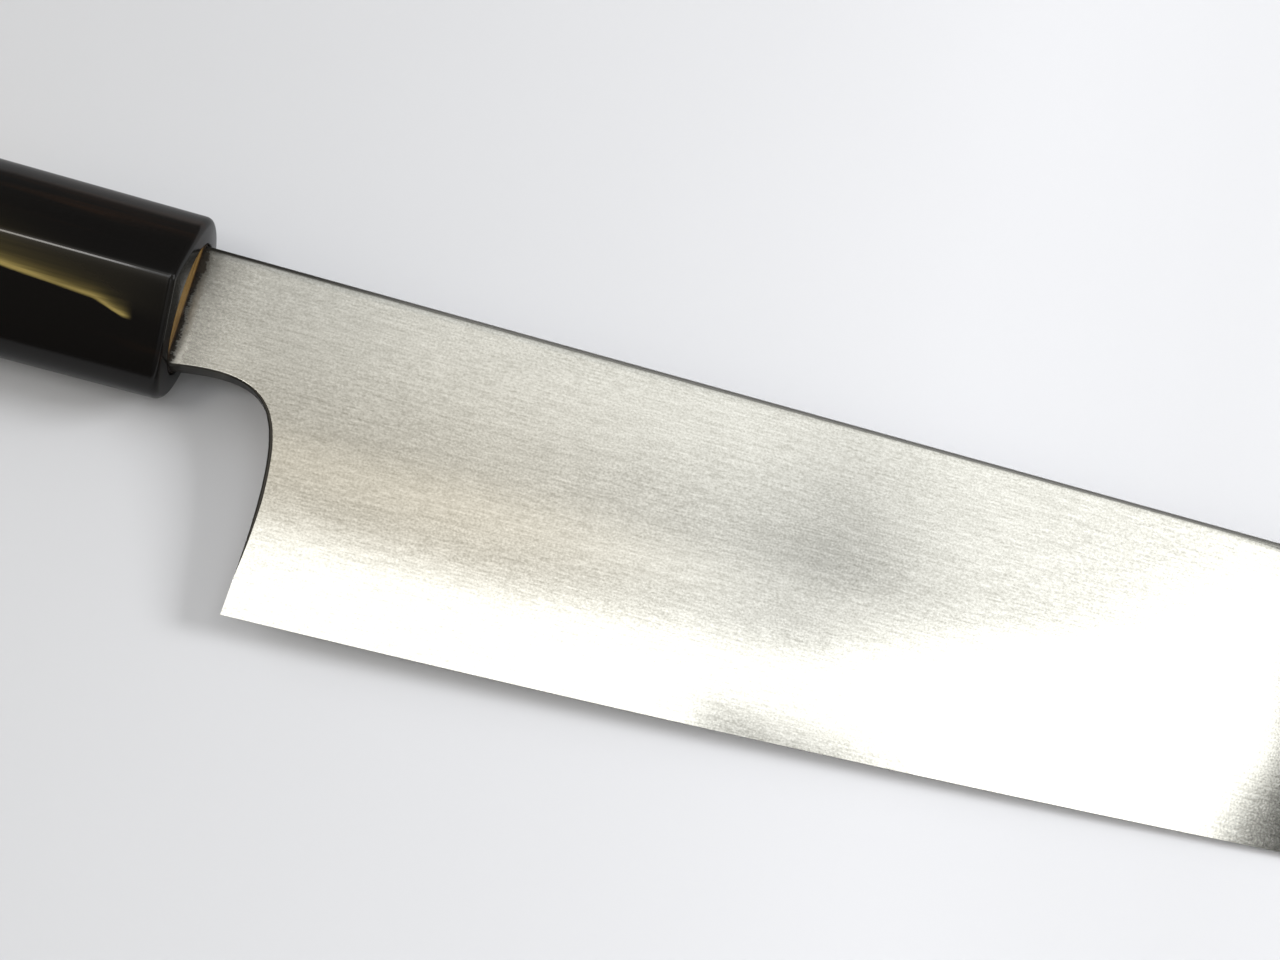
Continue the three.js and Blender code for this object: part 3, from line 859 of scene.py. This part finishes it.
class HandleShape:
    """Sections of the handle and of its mouth, as rings of points round its centre line"""

    # Points round a section, and how closely they crowd towards the ridge
    COUNT = 112
    CROWDING = 1.7
    # Corner of the tang, and points round a slot's corner
    TANG_CORNER = 0.3 * MM
    CORNER_POINTS = 9
    # Rings over the rounding of the seam, the ferrule's rim and the butt
    SEAM_RINGS, RIM_RINGS, BUTT_RINGS = 5, 9, 11

    def __init__(self, sizes, blade):
        self.sizes = sizes
        self.blade = blade
        self.neck_middle = blade.spine_rise - blade.neck_height / 2

    def section(self, x, inset=0.0):
        """D section: two full flanks that meet in a softened ridge, and a half ellipse behind"""
        sizes = self.sizes
        along = 1 + x / sizes.handle_length
        side = between(sizes.butt_height, sizes.front_height, along) / 2 - inset
        ridge = between(sizes.butt_ridge, sizes.front_ridge, along) - inset
        back = between(sizes.butt_back, sizes.front_back, along) - inset
        reach = sizes.flank_reach * side
        curve = bezier([
            (side, 0.0), (side, sizes.flank_shoulder * ridge),
            (reach, ridge - reach * sizes.flank_slope), (0.0, ridge)], LONG)
        quarter = self.COUNT // 4
        steps = 1 - (1 - np.arange(quarter + 1) / quarter) ** self.CROWDING
        y, z = (np.interp(steps, np.linspace(0, 1, LONG), curve[:, axis]) for axis in (0, 1))
        softened = z - sizes.flank_slope * (np.hypot(y, sizes.ridge_ease) - y)
        z = np.maximum(softened, 0.0)
        lean = sizes.ridge_lean * (z / ridge) ** 2
        upper = list(zip(y + lean, z))
        lower = list(zip(lean - y, z))[-2::-1]
        turns = np.pi + np.pi * np.arange(1, 2 * quarter) / (2 * quarter)
        behind = [(side * math.cos(turn), back * math.sin(turn)) for turn in turns]
        return [(x, y, z) for y, z in upper + lower + behind]

    def oval(self, x, inset=0.0, cheek=math.inf):
        """The tenon's oval, drawn in by an inset and cut off on both sides at a cheek, if there is one"""
        turns = 2 * np.pi * np.arange(self.COUNT) / self.COUNT
        y = self.neck_middle + (self.sizes.tenon_height / 2 - inset) * np.cos(turns)
        z = np.clip((self.sizes.tenon_thickness / 2 - inset) * np.sin(turns), -cheek, cheek)
        return [(x, a, b) for a, b in zip(y, z)]

    def slot(self, x, middle, height, thickness, corner):
        """A rounded rectangle, with its points spread evenly round it from the middle of its top"""
        tall, wide = height / 2 - corner, thickness / 2 - corner
        outline = [(height / 2, 0.0)]
        for quarter, (across, up) in enumerate(((1, 1), (-1, 1), (-1, -1), (1, -1))):
            for turn in np.linspace(quarter, quarter + 1, self.CORNER_POINTS) * math.pi / 2:
                outline.append((across * tall + corner * math.cos(turn), up * wide + corner * math.sin(turn)))
        outline.append(outline[0])
        outline = np.array(outline)
        shares = np.arange(self.COUNT) / self.COUNT
        y, z = (np.interp(shares, walk(outline), outline[:, axis]) for axis in (0, 1))
        return [(x, middle + a, b) for a, b in zip(y, z)]

    def tang_room(self, x, gap):
        """Room for the tang at x, with play all round"""
        blade = self.blade
        shoulder = blade.tang_shoulder
        if x > -shoulder:
            share = -x / shoulder
            high = between(blade.spine_rise, blade.tang_root_height / 2, share)
            low = between(blade.spine_rise - blade.neck_height, -blade.tang_root_height / 2, share)
        else:
            share = (-x - shoulder) / (blade.tang_length - shoulder)
            high = between(blade.tang_root_height, blade.tang_tip_height, share) / 2
            low = -high
        tall, thick = high - low + 2 * gap, tang_thickness(blade, x) + 2 * gap
        return self.slot(x, (high + low) / 2, tall, thick, self.TANG_CORNER)

    def rim(self, end, inward, radius, count, lean=0.0):
        """Rings that round an end over, from the full section to an end face that leans back to the rim"""
        rings = []
        for turn in np.linspace(0, math.pi / 2 - lean, count):
            x = end + inward * radius * (1 - math.sin(turn))
            rings.append(self.section(x, radius * (1 - math.cos(turn))))
        return rings


class KNIFE_OT_ferrule(bpy.types.Operator):
    """Draws the polished horn ferrule"""

    bl_idname = "knife.ferrule"
    bl_label = "Ferrule"

    # Rounding of the mouth, and lean of the front face where it meets the rim
    MOUTH_EASE = 0.12 * MM
    FACE_LEAN = math.radians(8)

    def execute(self, context):
        sizes = context.scene.knife_handle
        shape = HandleShape(sizes, context.scene.knife_blade)
        back = -sizes.ferrule_length
        gap = sizes.glue_gap
        rings = list(reversed(shape.rim(back, 1, sizes.seam_ease, shape.SEAM_RINGS)))
        rings += [shape.section(back * share) for share in reversed(FIFTHS)]
        rings += shape.rim(-sizes.ferrule_dome, -1, sizes.ferrule_rim, shape.RIM_RINGS, self.FACE_LEAN)
        rings += [
            shape.oval(0.0, -gap - self.MOUTH_EASE),
            shape.oval(-self.MOUTH_EASE, -gap),
            shape.oval(back, -gap),
        ]
        bm = skin(rings, closed=True)
        horn = polished_horn(context.scene.knife_colours)
        piece = finished_piece(bm, "horn_ferrule", horn, CRISP)
        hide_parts("ferrule")
        return {"FINISHED"}


class KNIFE_OT_handle(bpy.types.Operator):
    """Draws the wooden grip with its tenon and the slot for the tang"""

    bl_idname = "knife.handle"
    bl_label = "Handle"

    def execute(self, context):
        sizes = context.scene.knife_handle
        blade = context.scene.knife_blade
        shape = HandleShape(sizes, blade)
        back = -sizes.ferrule_length
        butt = -sizes.handle_length
        cheek = sizes.slot_thickness / 2
        rings = list(reversed(shape.rim(butt, 1, sizes.butt_rim, shape.BUTT_RINGS)))
        rings += [shape.section(between(butt, back, share)) for share in FIFTHS]
        rings += shape.rim(back, -1, sizes.seam_ease, shape.SEAM_RINGS)
        rings += [
            shape.oval(back),
            shape.oval(0.0),
            shape.oval(0.0, sizes.slot_wall, cheek),
            shape.oval(-sizes.slot_depth, sizes.slot_wall, cheek),
        ]
        for x in (-sizes.slot_depth, -0.5 * blade.tang_length, -blade.tang_length - sizes.burn_gap):
            rings.append(shape.tang_room(x, sizes.burn_gap))
        bm = skin(rings)
        wood = sanded_magnolia(context.scene.knife_colours)
        piece = finished_piece(bm, "magnolia_handle", wood, CRISP)
        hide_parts("handle")
        return {"FINISHED"}


class KNIFE_OT_tang_resin(bpy.types.Operator):
    """Draws the dark resin round the neck, wiped hollow at the mouth"""

    bl_idname = "knife.tang_resin"
    bl_label = "Tang resin"

    # Play of the resin over and under it, at the bottom of the slot and round the neck
    SIDE_PLAY, END_PLAY, NECK_PLAY = 0.02 * MM, 0.2 * MM, 0.03 * MM
    # Height of the resin over its hollow at the wood and at the neck, and the width of its slope at the wood
    WOOD_LIP, NECK_LIP, LIP_SLOPE = 0.12 * MM, 0.16 * MM, 0.35 * MM

    def execute(self, context):
        sizes = context.scene.knife_handle
        shape = HandleShape(sizes, context.scene.knife_blade)
        wall = self.SIDE_PLAY + sizes.slot_wall
        cheek = sizes.slot_thickness / 2 - sizes.slot_wall
        depth = -sizes.slot_depth + self.END_PLAY
        sink = -sizes.resin_sink
        rings = [
            shape.oval(depth, wall, cheek),
            shape.oval(sink + self.WOOD_LIP, wall, cheek),
            shape.oval(sink, wall + self.SIDE_PLAY, cheek - self.LIP_SLOPE),
            shape.tang_room(sink + self.NECK_LIP, self.NECK_PLAY),
            shape.tang_room(depth, self.NECK_PLAY),
        ]
        bm = skin(rings, closed=True)
        resin = set_resin(context.scene.knife_colours)
        piece = finished_piece(bm, "mouth_resin", resin, RESIN_CRISP)
        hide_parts("tang_resin")
        return {"FINISHED"}


# Stage

class KNIFE_OT_stage(bpy.types.Operator):
    """Sets the pale floor, the soft light and the camera"""

    bl_idname = "knife.stage"
    bl_label = "Stage"

    FLOOR_SEGMENTS = 128
    # Rings outside the flat round: how far out, how flat and how far up each lies from the one before
    FLOOR_RINGS = (
        (1.01, 1.01, 0.0), (1.12, 1.09, 0.0), (1.15, 1.06, 0.0), (1.2, 1.0, 0.0), (1.3, 0.9, 0.0),
        (2.6, 0.3, 0.0), (1.4, 0.3, 0.02), (1.08, 1.0, 0.10), (1.04, 1.0, 0.28),
    )
    # Soft darker patches overhead: the two slopes of each one's middle, its two widths and its depth
    PATCHES = (
        (0.21, 0.205, 0.052, 0.075, 0.4),
        (0.18, 0.1, 0.035, 0.045, 0.2),
        (0.08, 0.215, 0.06, 0.035, 0.075),
    )

    def execute(self, context):
        settings = context.scene.knife_stage
        self.floor(context, settings)
        self.sky(context.scene, settings)
        self.panel(context.scene, settings)
        self.camera(context.scene, settings)
        return {"FINISHED"}

    def floor(self, context, settings):
        """A flat round under the knife, which rests on its handle and edge, then a level floor with a rim"""
        bm = bmesh.new()
        bmesh.ops.create_circle(bm, cap_ends=True, segments=self.FLOOR_SEGMENTS, radius=FLOOR_ROUND)
        tilt = Matrix.Rotation(-settings.floor_pitch, 3, "Y") @ Matrix.Rotation(-settings.floor_roll, 3, "X")
        bmesh.ops.rotate(bm, verts=bm.verts, cent=(0.0, 0.0, 0.0), matrix=tilt)
        rim = [edge for edge in bm.edges if edge.is_boundary]
        for out, flatten, up in self.FLOOR_RINGS:
            made = bmesh.ops.extrude_edge_only(bm, edges=rim)["geom"]
            verts = [item for item in made if isinstance(item, bmesh.types.BMVert)]
            rim = [item for item in made if isinstance(item, bmesh.types.BMEdge)]
            bmesh.ops.scale(bm, verts=verts, vec=(out, out, flatten))
            bmesh.ops.translate(bm, verts=verts, vec=(0.0, 0.0, up))
        bmesh.ops.translate(bm, verts=bm.verts, vec=settings.floor_touch)
        mesh = bpy.data.meshes.new("floor")
        bm.to_mesh(mesh)
        bm.free()
        mesh.shade_smooth()
        mesh.materials.append(pale_floor(context.scene.knife_colours))
        floor = bpy.data.objects.new("floor", mesh)
        context.scene.collection.objects.link(floor)

    def sky(self, scene, settings):
        """A soft dome, brightest overhead and beyond the tip, with a wide window in front of the knife"""
        world = bpy.data.worlds.new("soft_dome")
        world.use_nodes = True
        finish = Finish(world.node_tree)
        x, y, z = finish.split(finish.add("ShaderNodeTexCoord", "Generated"))

        # Slopes of a direction towards the tip and the spine, and how far it leans past the tip or the butt
        lowest = 0.05
        high = z.most(lowest)
        u, v = x / high, y / high
        past, before = (u - 0.2).most(0.0), (-u).most(0.0)

        # Window in front of the knife, under a slanting brow, and a narrow strip over the handle
        brow = u * 0.17 + past * 0.6 + before * 0.14 + 0.023
        softness = past * 0.14 + before * 0.22 + 0.012
        window = ((brow - v) / softness).ramp(-1.0, 1.0)
        window = window * v.ramp(-0.42, -0.22) * u.ramp(-0.36, -0.24)
        strip = u.ramp(-0.24, -0.27) * u.ramp(-0.52, -0.44) * v.ramp(-0.3, -0.24) * v.ramp(0.0, -0.03)

        # Dark things in front of the light: a blind in the window, a corner and a flag beyond the tip
        blind = u.ramp(0.12, 0.15) * u.ramp(0.31, 0.22) * v.ramp(-0.008, -0.035)
        corner = (u - v * 0.42).ramp(0.4575, 0.468) * u.ramp(0.68, 0.58) * v.ramp(0.26, 0.18)
        flag = u.ramp(0.5, 0.513) * u.ramp(2.0, 1.4) * v.ramp(-0.6, -0.3) * v.ramp(0.75, 0.5)
        dark = (1.0 - blind * 0.77) * (1.0 - corner * 0.96) * (1.0 - flag * 0.93)

        # The dome: darker patches, a slow wave, and less light from the front and from low down
        dip = 0.0
        for middle, height, width, reach, depth in self.PATCHES:
            across, along = (u - middle) / width, (v - height) / reach
            dip = (-(across * across + along * along)).exp() * depth + dip
        wave = ((v - 0.125) * 42.0).cosine() * v.ramp(0.04, 0.09) * v.ramp(0.36, 0.3) * u.ramp(0.3, 0.2)
        front = u.ramp(0.1, -0.15) * v.ramp(-0.4, -1.1)
        near = u.ramp(-0.7, -0.35) * u.ramp(1.1, 0.7) * v.ramp(-0.9, -0.5) * v.ramp(0.9, 0.5)
        tone = (x * 1.6 + past * 0.9 + before.least(0.2) * 0.4 + 1.0).most(0.12)
        tone = tone * (1.0 - dip) * (1.0 + wave * 0.22) * (1.0 - front * 0.75) * (near * 0.7 + 0.3)
        tone = tone * (v.least(0.35).most(0.0) * 0.7 + 0.86)
        tone = tone * (1.0 - u.ramp(-0.06, -0.2) * v.ramp(0.17, 0.27) * 0.15)
        falloff = 2.2
        dome = z.most(0.0) ** falloff * settings.sky_light * tone
        fill = x.ramp(-0.4, -0.75) * z.ramp(0.02, 0.2) * 1.9
        lights = dome + fill + window * settings.window_light + strip * settings.strip_light
        level = lights * dark + settings.horizon_light
        warmth = v.ramp(0.34, 0.12) * u.ramp(0.18, -0.05) * (1.0 - window)
        tint = finish.blend(warmth, shade(settings.sky_cool), shade(settings.sky_warm))
        glow = finish.add("ShaderNodeBackground", "Background", None, {"Color": tint, "Strength": level})
        finish.add("ShaderNodeOutputWorld", None, None, {"Surface": glow})
        scene.world = world

    def panel(self, scene, settings):
        """A soft box beyond the tip"""
        lamp = bpy.data.lights.new("side_panel", "AREA")
        lamp.shape = "SQUARE"
        lamp.size = settings.panel_size
        watts_at_one = 4.0 * lamp.size ** 2
        lamp.energy = watts_at_one * settings.side_panel
        holder = bpy.data.objects.new("side_panel", lamp)
        place = Vector(settings.panel_place)
        holder.location = ORIGIN + place
        holder.rotation_euler = (-place).to_track_quat("-Z", "Y").to_euler()
        holder.visible_camera = False
        holder.visible_glossy = False
        scene.collection.objects.link(holder)

    def camera(self, scene, settings):
        """Looks down on the knife from the side of its edge"""
        camera = bpy.data.cameras.new("camera")
        camera.sensor_fit = "HORIZONTAL"
        camera.sensor_width = settings.sensor
        camera.lens = settings.lens
        camera.clip_start = 10 * MM
        holder = bpy.data.objects.new("camera", camera)
        look = Vector(settings.look).normalized()
        right = look.cross(Vector(settings.upright)).normalized()
        up = right.cross(look)
        turn = Matrix((right, up, -look)).transposed().to_4x4()
        holder.matrix_world = Matrix.Translation(ORIGIN + Vector(settings.eye)) @ turn
        scene.collection.objects.link(holder)
        scene.camera = holder
        scene.view_settings.view_transform = "Standard"


class KNIFE_PT_pieces(bpy.types.Panel):
    """Lists the knife's pieces and its stage"""

    bl_idname = "KNIFE_PT_pieces"
    bl_label = "Gyuto knife"
    bl_space_type = "VIEW_3D"
    bl_region_type = "UI"
    bl_category = "Knife"

    def draw(self, context):
        for operator in OPERATORS:
            self.layout.operator(operator.bl_idname)


GROUPS = {
    "knife_blade": BladeSizes,
    "knife_handle": HandleSizes,
    "knife_colours": FinishColours,
    "knife_stage": StageSettings,
}
OPERATORS = (
    KNIFE_OT_blade_core,
    KNIFE_OT_claddings,
    KNIFE_OT_ferrule,
    KNIFE_OT_handle,
    KNIFE_OT_tang_resin,
    KNIFE_OT_stage,
)
CLASSES = (*GROUPS.values(), *OPERATORS, KNIFE_PT_pieces)


def register():
    for item in CLASSES:
        bpy.utils.register_class(item)
    for name, group in GROUPS.items():
        setattr(bpy.types.Scene, name, PointerProperty(type=group))


def unregister():
    for name in GROUPS:
        delattr(bpy.types.Scene, name)
    for item in reversed(CLASSES):
        bpy.utils.unregister_class(item)


def main():
    register()
    bpy.ops.knife.blade_core()
    bpy.ops.knife.claddings()
    bpy.ops.knife.ferrule()
    bpy.ops.knife.handle()
    bpy.ops.knife.tang_resin()
    bpy.ops.knife.stage()


if __name__ == "__main__":
    main()
